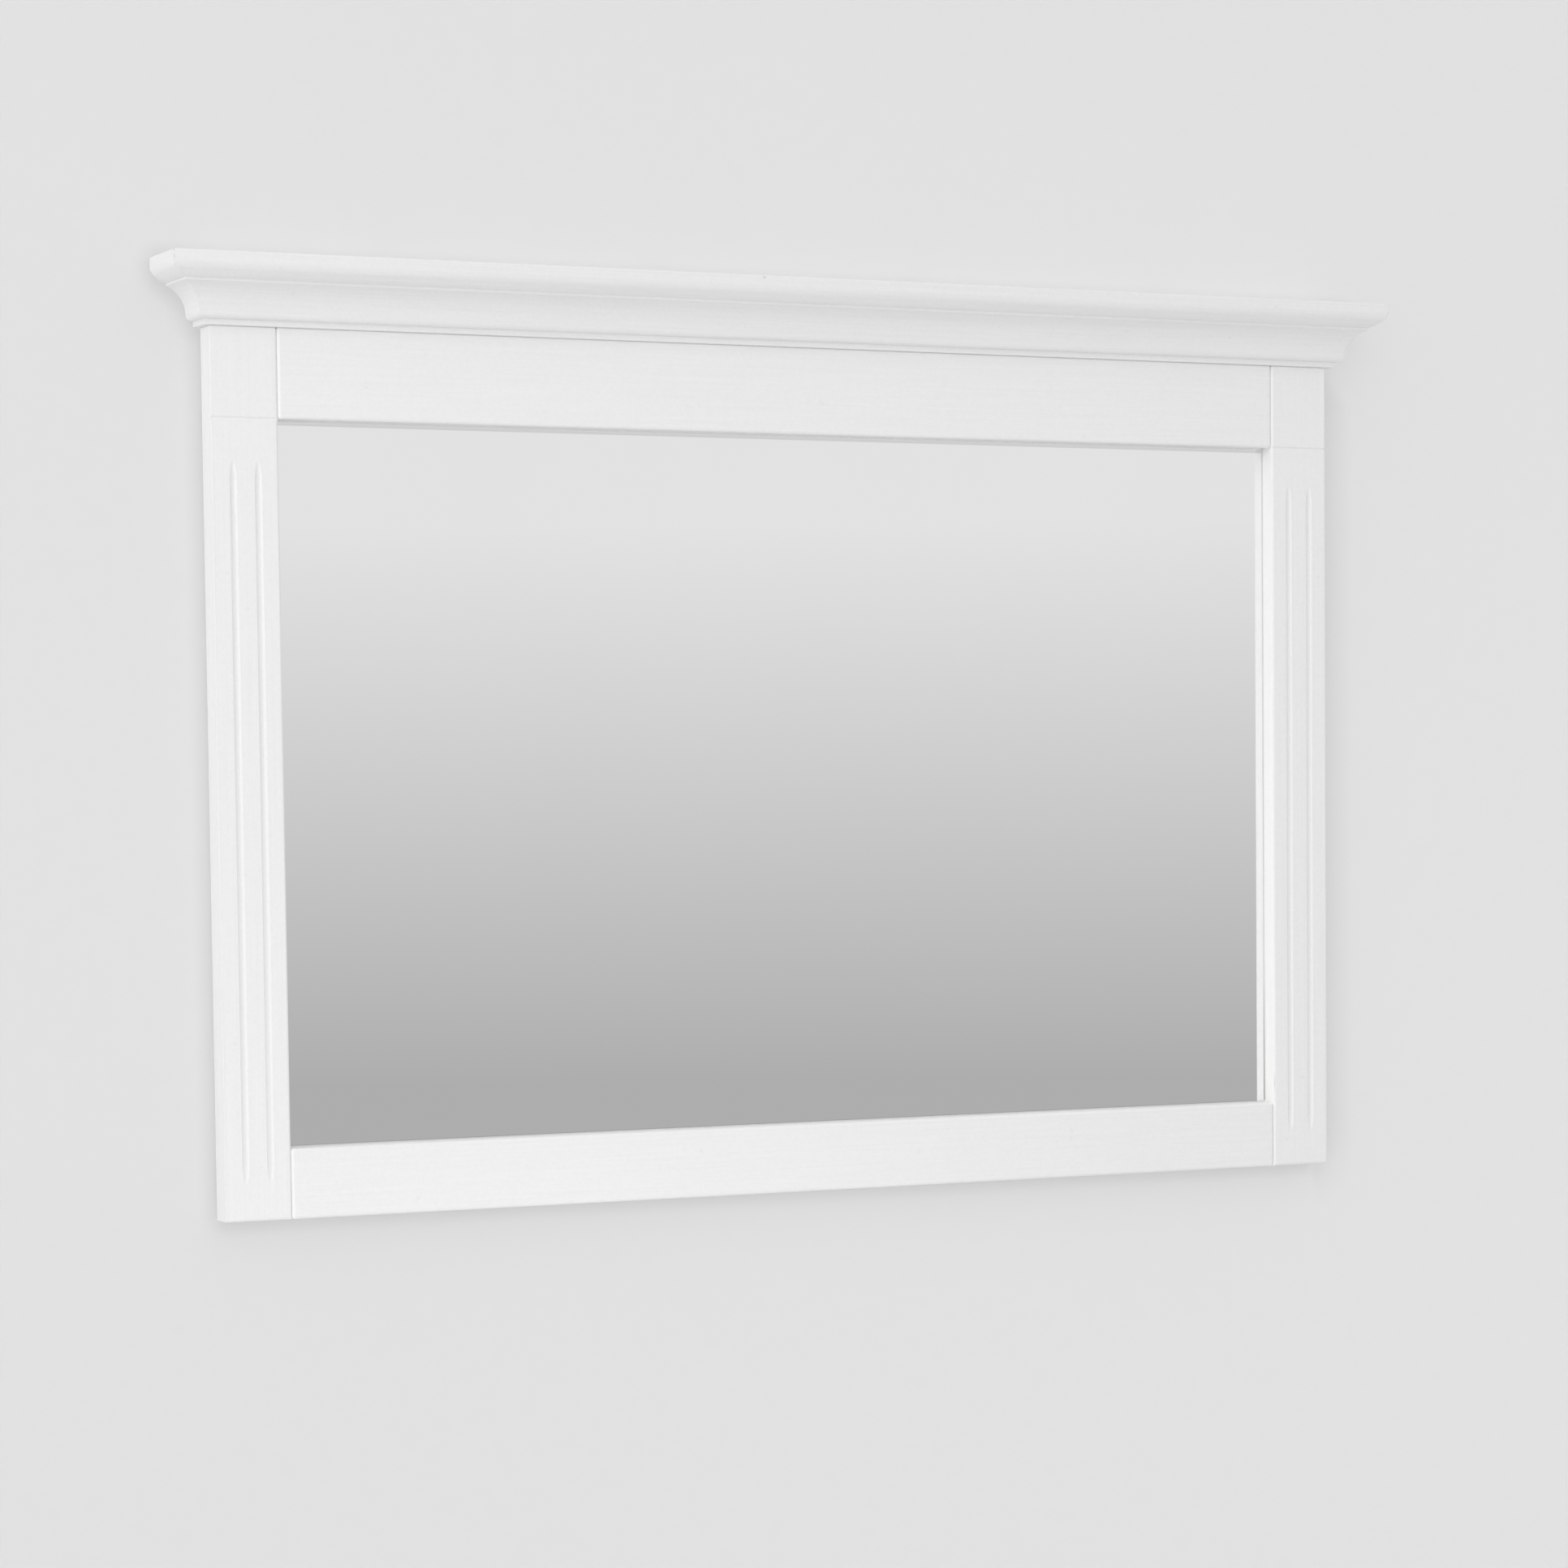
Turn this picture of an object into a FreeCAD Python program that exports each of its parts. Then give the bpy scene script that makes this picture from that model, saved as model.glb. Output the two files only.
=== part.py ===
# Painted wooden wall mirror: a doweled frame with fluted stiles, a mitred cornice and a silvered glass.
# All sizes are in millimetres. X runs along the width, Z up, and the front faces -Y.
# The pieces are drawn with Z = 0 at the frame's lower edge and Y = 0 at the frame's back,
# and are moved down at the end, so that the origin lies midway between the two wall hangers.
import FreeCAD, Part
import math
import os

from FreeCAD import Vector

# Frame boards
frame_width = 1020.0
frame_height = 700.0
board_thickness = 22.0
stile_width = 55.0
top_rail_height = 71.0
bottom_rail_height = 56.0
edge_radius = 2.5
top_edge_radius = 1.2
outer_edge_radius = 1.0
rail_end_radius = 3.0

# Rebate behind the frame's lip, and what it holds
rebate_width = 9.0
glass_thickness = 4.0
panel_thickness = 3.0
glass_clearance = 1.5
glass_arris = 0.6
packer_thickness = 1.5
packer_length = 60.0
packer_place_shares = (0.25, 0.75)

# Flutes and the groove on the front of each stile
flute_radius = 3.3
flute_depth = 1.9
flute_spacing = 20.5
flute_runout = 14.0
flute_bottom_gap = 30.0
flute_top_gap = 33.0
groove_width = 2.6
groove_depth = 1.1

# Dowels that join the rails to the stiles
dowel_radius = 4.0
dowel_length = 40.0
dowel_chamfer = 1.0
dowel_end_gap = 1.0
dowel_place_shares = (0.25, 0.65)

# Cornice moulding: projections are measured outwards from the frame's face, heights from its top edge
cornice_height = 53.0
cornice_projection = 40.0
bead_projection = 6.0
bead_height = 4.4
nose_radius = 4.6
cove_foot_projection = 12.0
cove_top_projection = 27.2
fillet_height = 2.2
ovolo_shelf = 1.2
ovolo_height = 11.6
ovolo_bend_height = 6.0
ovolo_bend_depth = 2.5
top_band_height = 8.1
cornice_top_round = 2.0

# Biscuits in the cornice's mitres
biscuit_length = 40.0
biscuit_width = 14.0
biscuit_thickness = 3.8
biscuit_clearance = 0.1
biscuit_projection_share = 0.52
biscuit_height_share = 0.82

# Screws
screw_clearance = 0.3
wood_clearance = 0.02
cornice_screw_radius = 2.0
cornice_screw_length = 50.0
cornice_screw_head_radius = 4.0
cornice_screw_sunk = 22.0
cornice_screw_place_shares = (-0.78, -0.26, 0.26, 0.78)
moulding_screw_radius = 2.0
moulding_screw_length = 40.0
moulding_screw_head_radius = 4.0
moulding_screw_height_share = 0.78
moulding_screw_place_shares = (-0.9, -0.52, 0.0, 0.52, 0.9)
hanger_screw_radius = 1.75
hanger_screw_length = 16.0
hanger_screw_head_radius = 3.5
clip_screw_radius = 1.5
clip_screw_length = 12.0
clip_screw_head_radius = 3.0
clip_screw_head_height = 1.6
screw_tip_share = 1.6
slot_width_share = 0.3
slot_depth_share = 0.3

# Keyhole hangers let into the stiles' backs
hanger_drop = 78.0
hanger_width = 19.0
hanger_length = 54.0
hanger_thickness = 1.5
hanger_screw_inset = 8.0
keyhole_radius = 4.75
keyhole_slot_radius = 2.6
keyhole_slot_rise = 11.0
pocket_margin = 2.0
pocket_depth = 10.0
hanger_clearance = 0.2

# Clips that hold the back panel
clip_length = 28.0
clip_width = 10.0
clip_thickness = 1.0
clip_screw_inset = 6.0
rail_clip_place_shares = (-0.66, 0.0, 0.66)
stile_clip_place_shares = (0.25, 0.72)

# Rubber pads that keep the frame clear of the wall
pad_radius = 9.0
pad_thickness = 3.0
pad_bevel = 0.8
pad_inset = 22.0

# How far a cutting tool reaches past the surface it starts from, and lengths too close to tell apart
overrun = 2.0
length_tolerance = 0.001

# Sizes worked out from those above
half_width = frame_width / 2
inner_half_width = half_width - stile_width
front_y = -board_thickness
middle_y = front_y / 2
top_rail_z = frame_height - top_rail_height
hanger_z = frame_height - hanger_drop
rebate_depth = glass_thickness + panel_thickness
rebate_half_width = inner_half_width + rebate_width
rebate_low_z = bottom_rail_height - rebate_width
rebate_high_z = top_rail_z + rebate_width
stile_middle_x = half_width - stile_width / 2
ovolo_top_height = cornice_height - top_band_height
ovolo_low_height = ovolo_top_height - ovolo_height
cornice_top_z = frame_height + cornice_height


def box(x0, x1, y0, y1, z0, z1):
    """Box between two corners, given along each axis as low and high."""
    return Part.makeBox(x1 - x0, y1 - y0, z1 - z0, Vector(x0, y0, z0))


def mirrored(shape):
    """The same shape on the other side of the object's middle."""
    return shape.mirror(Vector(), Vector(1, 0, 0))


def cut_all(shape, tools):
    """Cut each tool out of the shape."""
    return shape.cut(Part.Compound(tools)) if tools else shape


def same(a, b):
    """True for two lengths that only rounding tells apart."""
    return abs(a - b) < length_tolerance


def edges_where(shape, chosen):
    """Edges of the shape whose two ends both pass the test."""
    return [edge for edge in shape.Edges if all(chosen(vertex.Point) for vertex in edge.Vertexes)]


def eased_board(x0, x1, z0, z1, side_radii, top_radius):
    """Board with rounded front edges. The upright ones and the upper one have radii of their own."""
    def front_edges(shape, chosen):
        return edges_where(shape, lambda point: same(point.y, front_y) and chosen(point))

    board = box(x0, x1, front_y, 0, z0, z1)
    first = front_edges(board, lambda point: same(point.x, x0))
    if same(side_radii[0], edge_radius):
        board = board.makeFillet(edge_radius, first + front_edges(board, lambda point: same(point.z, z0)))
        board = board.makeFillet(top_radius, front_edges(board, lambda point: same(point.z, z1)))
        return board.makeFillet(side_radii[1], front_edges(board, lambda point: same(point.x, x1)))
    board = board.makeFillet(side_radii[0], first + front_edges(board, lambda point: same(point.x, x1)))
    board = board.makeFillet(edge_radius, front_edges(board, lambda point: same(point.z, z0)))
    return board.makeFillet(top_radius, front_edges(board, lambda point: same(point.z, z1)))


def screw(base, direction, radius, length, head_radius, head_height, countersunk):
    """Wood screw with its head's outer face at the base point, driven along the direction."""
    tip = radius * screw_tip_share
    slot = head_radius * slot_width_share
    slot_depth = head_height * slot_depth_share
    if countersunk:
        points = [(0, 0), (head_radius, 0), (radius, head_radius - radius),
                  (radius, length - tip), (0, length)]
    else:
        points = [(0, 0), (head_radius, 0), (head_radius, head_height), (radius, head_height),
                  (radius, head_height + length - tip), (0, head_height + length)]
    outline = [Vector(r, 0, z) for r, z in points]
    body = Part.Face(Part.makePolygon(outline + outline[:1])).revolve(Vector(), Vector(0, 0, 1), 360)
    drive = box(-head_radius, head_radius, -slot / 2, slot / 2, -overrun, slot_depth)
    body = body.cut(drive)
    body.Placement = FreeCAD.Placement(base, FreeCAD.Rotation(Vector(0, 0, 1), direction))
    return body


def countersink(base, direction, radius, head_radius, clearance):
    """Tool for a countersunk hole's mouth, open beyond the base point."""
    rise = head_radius - radius
    wide = head_radius + clearance
    cone = Part.makeCone(wide, radius + clearance, rise, base, direction)
    mouth = Part.makeCylinder(wide, overrun, base - direction * overrun, direction)
    return cone.fuse(mouth)


def hole(base, direction, radius, depth):
    """Tool for a round hole that starts a little before the base point."""
    return Part.makeCylinder(radius, depth + overrun, base - direction * overrun, direction)


def dowel_points():
    """Heights of the dowels, as seen from each rail's outer edge inwards."""
    low = [bottom_rail_height * share for share in dowel_place_shares]
    high = [frame_height - top_rail_height * share for share in dowel_place_shares]
    return low, high


def dowel_holes(side, levels):
    """Holes for the dowels on one side of the frame, half in the rail and half in the stile."""
    reach = dowel_length / 2 + dowel_end_gap
    radius = dowel_radius + wood_clearance
    start = Vector(side * inner_half_width - reach, middle_y, 0)
    return [Part.makeCylinder(radius, 2 * reach, start + Vector(0, 0, z), Vector(1, 0, 0)) for z in levels]


def flute_tool(x):
    """Path of a ball-nosed cutter: down a ramp, along the stile and up a ramp again."""
    low_z = flute_bottom_gap
    high_z = top_rail_z - flute_top_gap
    deep_y = front_y - flute_radius + flute_depth
    slope = flute_depth / flute_runout
    clear_y = front_y - flute_radius - overrun * slope
    points = [Vector(x, clear_y, low_z - overrun), Vector(x, deep_y, low_z + flute_runout),
              Vector(x, deep_y, high_z - flute_runout), Vector(x, clear_y, high_z + overrun)]
    path = Part.makePolygon(points)
    circle = Part.makeCircle(flute_radius, points[0], points[1] - points[0])
    return path.makePipeShell([Part.Wire(circle)], True, False, 1)


def groove_tool(x0, x1):
    """Shallow V-shaped groove across the stile, level with the top rail's lower edge."""
    half = groove_width / 2
    spread = half * (groove_depth + overrun) / groove_depth
    corners = [Vector(x0 - overrun, front_y + groove_depth, top_rail_z),
               Vector(x0 - overrun, front_y - overrun, top_rail_z - spread),
               Vector(x0 - overrun, front_y - overrun, top_rail_z + spread)]
    face = Part.Face(Part.makePolygon(corners + corners[:1]))
    return face.extrude(Vector(x1 - x0 + 2 * overrun, 0, 0))


def rounded_strip(radius, z0, z1, y0, y1, x):
    """Upright strip with half-round ends, centred on x, between two end centres."""
    depth = y1 - y0
    ends = [Part.makeCylinder(radius, depth, Vector(x, y0, z), Vector(0, 1, 0)) for z in (z0, z1)]
    if z1 <= z0:
        return ends[0]
    return ends[0].fuse([ends[1], box(x - radius, x + radius, y0, y1, z0, z1)]).removeSplitter()


def hanger_screw_levels():
    """Heights of the two screws in a hanger plate."""
    reach = hanger_length / 2 - hanger_screw_inset
    middle = hanger_z + keyhole_slot_rise / 2
    return middle - reach, middle + reach


def hanger_outline(radius, y0, y1):
    """Outline of a hanger plate as a solid between two depths."""
    reach = hanger_length / 2 - hanger_width / 2
    middle = hanger_z + keyhole_slot_rise / 2
    return rounded_strip(radius, middle - reach, middle + reach, y0, y1, stile_middle_x)


def hanger_tools():
    """Mortise, pocket and pilot holes behind a hanger plate."""
    mortise = hanger_outline(hanger_width / 2 + hanger_clearance, -hanger_thickness, overrun)
    pocket = rounded_strip(keyhole_radius + pocket_margin, hanger_z, hanger_z + keyhole_slot_rise,
                           -pocket_depth, overrun, stile_middle_x)
    inward = Vector(0, -1, 0)
    pilot_radius = hanger_screw_radius + wood_clearance
    tools = [mortise, pocket]
    for z in hanger_screw_levels():
        centre = Vector(stile_middle_x, 0, z)
        tools.append(hole(centre, inward, pilot_radius, hanger_screw_length))
        tools.append(countersink(centre, inward, hanger_screw_radius, hanger_screw_head_radius,
                                 wood_clearance))
    return tools


def hanger_plate():
    """Flush steel plate with a keyhole and two countersunk holes."""
    plate = hanger_outline(hanger_width / 2, -hanger_thickness, 0)
    inward = Vector(0, -1, 0)
    entry = hole(Vector(stile_middle_x, 0, hanger_z), inward, keyhole_radius, hanger_thickness + overrun)
    slot = rounded_strip(keyhole_slot_radius, hanger_z, hanger_z + keyhole_slot_rise,
                         -hanger_thickness - overrun, overrun, stile_middle_x)
    bore_radius = hanger_screw_radius + wood_clearance
    tools = [entry, slot]
    for z in hanger_screw_levels():
        centre = Vector(stile_middle_x, 0, z)
        tools.append(hole(centre, inward, bore_radius, hanger_thickness + overrun))
        tools.append(countersink(centre, inward, hanger_screw_radius, hanger_screw_head_radius,
                                 wood_clearance))
    for tool in tools:
        plate = plate.cut(tool)
    return plate


def clip_places():
    """Point on the rebate's wall at the middle of each clip, with the direction towards the panel."""
    places = []
    for share in rail_clip_place_shares:
        places.append((Vector(share * inner_half_width, 0, rebate_low_z), Vector(0, 0, 1)))
        places.append((Vector(share * inner_half_width, 0, rebate_high_z), Vector(0, 0, -1)))
    for share in stile_clip_place_shares:
        z = rebate_low_z + share * (rebate_high_z - rebate_low_z)
        places.append((Vector(-rebate_half_width, 0, z), Vector(1, 0, 0)))
        places.append((Vector(rebate_half_width, 0, z), Vector(-1, 0, 0)))
    return places


def clip(place, towards):
    """Flat steel clip on the frame's back that overlaps the back panel."""
    strip = box(-clip_length / 2, clip_length / 2, 0, clip_thickness, -clip_width / 2, clip_width / 2)
    corners = [e for e in strip.Edges if abs(e.Vertexes[0].Y - e.Vertexes[1].Y) > clip_thickness / 2]
    strip = strip.makeFillet(clip_width / 2 - screw_clearance, corners)
    bore = hole(Vector(clip_screw_inset - clip_length / 2, 0, 0), Vector(0, 1, 0),
                clip_screw_radius + wood_clearance, clip_thickness + overrun)
    strip = strip.cut(bore)
    turn = math.degrees(math.atan2(-towards.z, towards.x))
    strip.Placement = FreeCAD.Placement(place, FreeCAD.Rotation(Vector(0, 1, 0), turn))
    return strip


def clip_screw_point(place, towards):
    """Centre of a clip's screw on the frame's back."""
    return place + towards * (clip_screw_inset - clip_length / 2)


def clip_pilots():
    """Pilot holes for all the clips' screws."""
    inward = Vector(0, -1, 0)
    radius = clip_screw_radius + wood_clearance
    return [hole(clip_screw_point(place, towards), inward, radius, clip_screw_length)
            for place, towards in clip_places()]


def stile():
    """Right stile: full height, with two stopped flutes, a groove, a stopped rebate and its holes."""
    board = eased_board(inner_half_width, half_width, 0, frame_height, (edge_radius, outer_edge_radius),
                        top_edge_radius)
    rebate = box(inner_half_width - overrun, rebate_half_width, -rebate_depth, overrun,
                 rebate_low_z, rebate_high_z)
    flutes = [flute_tool(stile_middle_x + side * flute_spacing / 2) for side in (-1, 1)]
    groove = groove_tool(inner_half_width, half_width)
    for tool in [rebate, groove] + flutes:
        board = board.cut(tool)
    low, high = dowel_points()
    return cut_all(board, dowel_holes(1, low + high) + hanger_tools() + clip_pilots())


def rail(z0, z1, top_radius, levels, rebate):
    """Rail between the stiles, with rounded front edges and ends, a rebate and dowel holes."""
    board = eased_board(-inner_half_width, inner_half_width, z0, z1, (rail_end_radius, rail_end_radius), top_radius)
    board = board.cut(rebate)
    return cut_all(board, dowel_holes(-1, levels) + dowel_holes(1, levels) + clip_pilots())


def rail_rebate(z0, z1):
    """Rebate along the whole of a rail, which lines up with the stiles' stopped rebates."""
    return box(-inner_half_width - overrun, inner_half_width + overrun, -rebate_depth, overrun, z0, z1)


def dowels():
    """Chamfered dowels in every joint of the frame."""
    low, high = dowel_points()
    pieces = []
    for side in (-1, 1):
        for z in low + high:
            start = Vector(side * inner_half_width - dowel_length / 2, middle_y, z)
            pin = Part.makeCylinder(dowel_radius, dowel_length, start, Vector(1, 0, 0))
            rims = [e for e in pin.Edges if e.isClosed()]
            pieces.append(pin.makeChamfer(dowel_chamfer, rims))
    return pieces


def glass_sheet():
    """Silvered glass with ground edges, standing on its packers."""
    reach = rebate_half_width - glass_clearance
    low_z = rebate_low_z + packer_thickness
    sheet = box(-reach, reach, -rebate_depth, -panel_thickness, low_z, rebate_high_z - glass_clearance)
    rims = [e for e in sheet.Edges if abs(e.Vertexes[0].Y - e.Vertexes[1].Y) < glass_arris]
    return sheet.makeChamfer(glass_arris, rims)


def back_panel():
    """Thin board behind the glass, flush with the frame's back."""
    reach = rebate_half_width - glass_clearance
    low_z = rebate_low_z + packer_thickness
    return box(-reach, reach, -panel_thickness, 0, low_z, rebate_high_z - glass_clearance)


def packers():
    """Strips in the lower rebate that carry the glass and the panel."""
    span = 2 * (rebate_half_width - glass_clearance)
    strips = []
    for share in packer_place_shares:
        x = span * share - span / 2
        strips.append(box(x - packer_length / 2, x + packer_length / 2, -rebate_depth, 0,
                          rebate_low_z, rebate_low_z + packer_thickness))
    return strips


def at(projection, height):
    """Point of the cornice's section: x is the projection, z the height above the frame's top edge."""
    return Vector(projection, 0, height)


def quarter(start, corner, end):
    """Quarter circle between two points, heading for the corner at both."""
    centre = start + end - corner
    return Part.Arc(start, centre + (corner - centre) * math.sqrt(0.5), end).toShape()


def arc_ahead(start, heading, end):
    """Circular arc that leaves its start in a given direction, and the direction in which it ends."""
    chord = end - start
    across = Vector(-heading.z, 0, heading.x)
    radius = chord.dot(chord) / (2 * chord.dot(across))
    centre = start + across * radius
    middle = (start - centre + end - centre).normalize()
    way = Vector(chord).normalize()
    arc = Part.Arc(start, centre + middle * abs(radius), end).toShape()
    return arc, way * (2 * way.dot(heading)) - heading


def cornice_section():
    """Section of the moulding: bead, nose, cove, fillet, ovolo and an upright band, from below."""
    nose_start = at(cove_foot_projection - nose_radius, bead_height)
    cove_foot = at(cove_foot_projection, bead_height + nose_radius)
    cove_top = at(cove_top_projection, ovolo_low_height - fillet_height)
    ovolo_foot = at(cove_top_projection + ovolo_shelf, ovolo_low_height)
    band_foot = at(cornice_projection, ovolo_top_height)
    band_top = at(cornice_projection, cornice_height - cornice_top_round)
    top_edge = at(cornice_projection - cornice_top_round, cornice_height)
    lower = [at(0, 0), at(bead_projection, 0), at(bead_projection, bead_height), nose_start]
    middle = [cove_top, at(cove_top_projection, ovolo_low_height), ovolo_foot]
    upper = [top_edge, at(0, cornice_height), at(0, 0)]
    bend = at(cornice_projection - ovolo_bend_depth, ovolo_top_height - ovolo_bend_height)
    cove, _ = arc_ahead(cove_foot, Vector(0, 0, 1), cove_top)
    ovolo_bend, slope = arc_ahead(band_foot, Vector(0, 0, -1), bend)
    ovolo_slope, _ = arc_ahead(bend, slope, ovolo_foot)
    return Part.Face(Part.Wire([
        Part.makePolygon(lower),
        quarter(nose_start, at(cove_foot_projection, bead_height), cove_foot),
        cove,
        Part.makePolygon(middle),
        ovolo_slope,
        ovolo_bend,
        Part.makeLine(band_foot, band_top),
        quarter(band_top, at(cornice_projection, cornice_height), top_edge),
        Part.makePolygon(upper)]))


def plan_prism(points):
    """Upright prism over a plan outline, taller than the cornice."""
    low_z = frame_height - overrun
    outline = [Vector(x, y, low_z) for x, y in points]
    face = Part.Face(Part.makePolygon(outline + outline[:1]))
    return face.extrude(Vector(0, 0, cornice_height + 2 * overrun))


def mitre_corners():
    """Plan points at the right mitre's inner end and past its outer end."""
    reach = cornice_projection + overrun
    return (half_width, front_y), (half_width + reach, front_y - reach)


def cornice_front():
    """Front length of the moulding, mitred at both ends."""
    inner, outer = mitre_corners()
    length = 2 * outer[0]
    section = cornice_section()
    section.Placement = FreeCAD.Placement(Vector(-outer[0], front_y, frame_height),
                                          FreeCAD.Rotation(Vector(0, 0, 1), -90))
    run = section.extrude(Vector(length, 0, 0))
    plan = [inner, outer, (-outer[0], outer[1]), (-inner[0], inner[1])]
    return run.common(plan_prism(plan))


def cornice_return():
    """Right-hand return: a short mitred length that runs back to the frame's back."""
    inner, outer = mitre_corners()
    section = cornice_section()
    section.Placement = FreeCAD.Placement(Vector(half_width, outer[1], frame_height), FreeCAD.Rotation())
    run = section.extrude(Vector(0, -outer[1], 0))
    plan = [inner, outer, (outer[0], 0), (inner[0], 0)]
    return run.common(plan_prism(plan))


def biscuit(clearance):
    """Lens-shaped biscuit across the right mitre, or the slot for it."""
    half_length = biscuit_length / 2 + clearance
    half_across = biscuit_width / 2 + clearance
    thickness = biscuit_thickness + 2 * clearance
    radius = (half_length ** 2 + half_across ** 2) / (2 * half_across)
    offset = radius - half_across
    low = Part.makeCylinder(radius, thickness, Vector(0, -offset, -thickness / 2))
    high = Part.makeCylinder(radius, thickness, Vector(0, offset, -thickness / 2))
    lens = low.common(high)
    place = cornice_projection * biscuit_projection_share
    level = frame_height + cornice_height * biscuit_height_share
    lens.Placement = FreeCAD.Placement(Vector(half_width + place, front_y - place, level),
                                       FreeCAD.Rotation(Vector(0, 0, 1), -45))
    return lens


def cornice_screw_places():
    """Points on the carrier's top edge where a screw goes down into the top rail."""
    return [Vector(share * inner_half_width, middle_y, cornice_top_z)
            for share in cornice_screw_place_shares]


def moulding_screw_places():
    """Points on the carrier's back where a screw goes forward into the moulding."""
    z = frame_height + cornice_height * moulding_screw_height_share
    return [Vector(share * inner_half_width, 0, z) for share in moulding_screw_place_shares]


def cornice_carrier():
    """Board on the frame's top edge that the moulding is glued and screwed to."""
    carrier = box(-half_width, half_width, front_y, 0, frame_height, cornice_top_z)
    down = Vector(0, 0, -1)
    inward = Vector(0, -1, 0)
    tools = []
    for place in cornice_screw_places():
        head = place + down * cornice_screw_sunk
        mouth = countersink(head, down, cornice_screw_radius, cornice_screw_head_radius, wood_clearance)
        tools.append(hole(place, down, cornice_screw_head_radius + screw_clearance, cornice_screw_sunk))
        tools.append(mouth)
        tools.append(hole(head, down, cornice_screw_radius + wood_clearance, cornice_screw_length))
    for place in moulding_screw_places():
        mouth = countersink(place, inward, moulding_screw_radius, moulding_screw_head_radius, wood_clearance)
        tools.append(mouth)
        tools.append(hole(place, inward, moulding_screw_radius + wood_clearance, moulding_screw_length))
    for tool in tools:
        carrier = carrier.cut(tool)
    return carrier


def cornice_screw_pilots():
    """Pilot holes in the top rail for the carrier's screws."""
    down = Vector(0, 0, -1)
    radius = cornice_screw_radius + wood_clearance
    return [hole(place + down * cornice_screw_sunk, down, radius, cornice_screw_length)
            for place in cornice_screw_places()]


def moulding_screw_pilots():
    """Pilot holes in the moulding for the screws that come through the carrier."""
    inward = Vector(0, -1, 0)
    radius = moulding_screw_radius + wood_clearance
    return [hole(place, inward, radius, moulding_screw_length) for place in moulding_screw_places()]


def wall_pad(z):
    """Round rubber pad on the right stile's back, with its outer rim bevelled."""
    disc = Part.makeCylinder(pad_radius, pad_thickness, Vector(stile_middle_x, 0, z), Vector(0, 1, 0))
    rims = [e for e in disc.Edges if e.isClosed() and same(e.CenterOfMass.y, pad_thickness)]
    return disc.makeChamfer(pad_bevel, rims)


def build():
    """All the pieces of the mirror by name, each a list of separate solids."""
    inward = Vector(0, -1, 0)
    down = Vector(0, 0, -1)
    low, high = dowel_points()
    high_rebate = rail_rebate(top_rail_z - overrun, rebate_high_z)
    low_rebate = rail_rebate(rebate_low_z, bottom_rail_height + overrun)
    top_rail = rail(top_rail_z, frame_height, top_edge_radius, high, high_rebate)
    bottom_rail = rail(0, bottom_rail_height, edge_radius, low, low_rebate)
    right_stile = stile()
    slot = biscuit(biscuit_clearance)
    right_return = cornice_return().cut(slot)
    plate = hanger_plate()
    hanger_points = [Vector(stile_middle_x, 0, z) for z in hanger_screw_levels()]
    hanger_screws = [screw(point, inward, hanger_screw_radius, hanger_screw_length, hanger_screw_head_radius,
                           hanger_screw_head_radius - hanger_screw_radius, True) for point in hanger_points]
    pads = [wall_pad(pad_inset), wall_pad(frame_height - pad_inset)]
    clip_heads = [clip_screw_point(place, towards) + Vector(0, clip_thickness + clip_screw_head_height, 0)
                  for place, towards in clip_places()]
    return {
        "left_stile": [mirrored(right_stile)],
        "right_stile": [right_stile],
        "top_rail": [cut_all(top_rail, cornice_screw_pilots())],
        "bottom_rail": [bottom_rail],
        "frame_dowels": dowels(),
        "mirror_glass": [glass_sheet()],
        "glass_packers": packers(),
        "back_panel": [back_panel()],
        "panel_clips": [clip(place, towards) for place, towards in clip_places()],
        "clip_screws": [screw(point, inward, clip_screw_radius, clip_screw_length, clip_screw_head_radius,
                              clip_screw_head_height, False) for point in clip_heads],
        "cornice_carrier": [cornice_carrier()],
        "cornice_front": [cut_all(cornice_front(), moulding_screw_pilots() + [slot, mirrored(slot)])],
        "cornice_return_left": [mirrored(right_return)],
        "cornice_return_right": [right_return],
        "mitre_biscuits": [mirrored(biscuit(0)), biscuit(0)],
        "cornice_screws": [screw(place + down * cornice_screw_sunk, down, cornice_screw_radius,
                                 cornice_screw_length, cornice_screw_head_radius,
                                 cornice_screw_head_radius - cornice_screw_radius, True)
                           for place in cornice_screw_places()],
        "moulding_screws": [screw(place, inward, moulding_screw_radius, moulding_screw_length,
                                  moulding_screw_head_radius,
                                  moulding_screw_head_radius - moulding_screw_radius, True)
                            for place in moulding_screw_places()],
        "hanger_plate_left": [mirrored(plate)],
        "hanger_plate_right": [plate],
        "hanger_screws": [mirrored(s) for s in hanger_screws] + hanger_screws,
        "wall_pads": [mirrored(p) for p in pads] + pads,
    }


def write(pieces):
    """Move the pieces to the hangers' origin and write one file for each name."""
    os.makedirs("parts", exist_ok=True)
    move = Vector(0, 0, -hanger_z)
    for name, solids in pieces.items():
        shape = solids[0] if len(solids) == 1 else Part.Compound(solids)
        shape = shape.copy()
        shape.translate(move)
        found = len(shape.Solids)
        print(f"{name}: {found} solids, valid {shape.isValid()}, volume {shape.Volume / 1000:.1f} cm3")
        shape.exportStep(os.path.join("parts", name + ".step"))


write(build())
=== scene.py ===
# %% [markdown]
# A landscape wall mirror in a white painted pine frame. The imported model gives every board, the glass and
# the hardware at their real sizes. This script adds what a model in plain grey lacks: paint with brush
# marks, bare pine behind, silver behind the glass, and light. Everything is in metres. The origin lies
# midway between the two hangers on the frame's back, X runs to the right, Z up, and the front faces -Y.

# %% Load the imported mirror
import math

import bpy
from mathutils import Matrix, Vector


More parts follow.
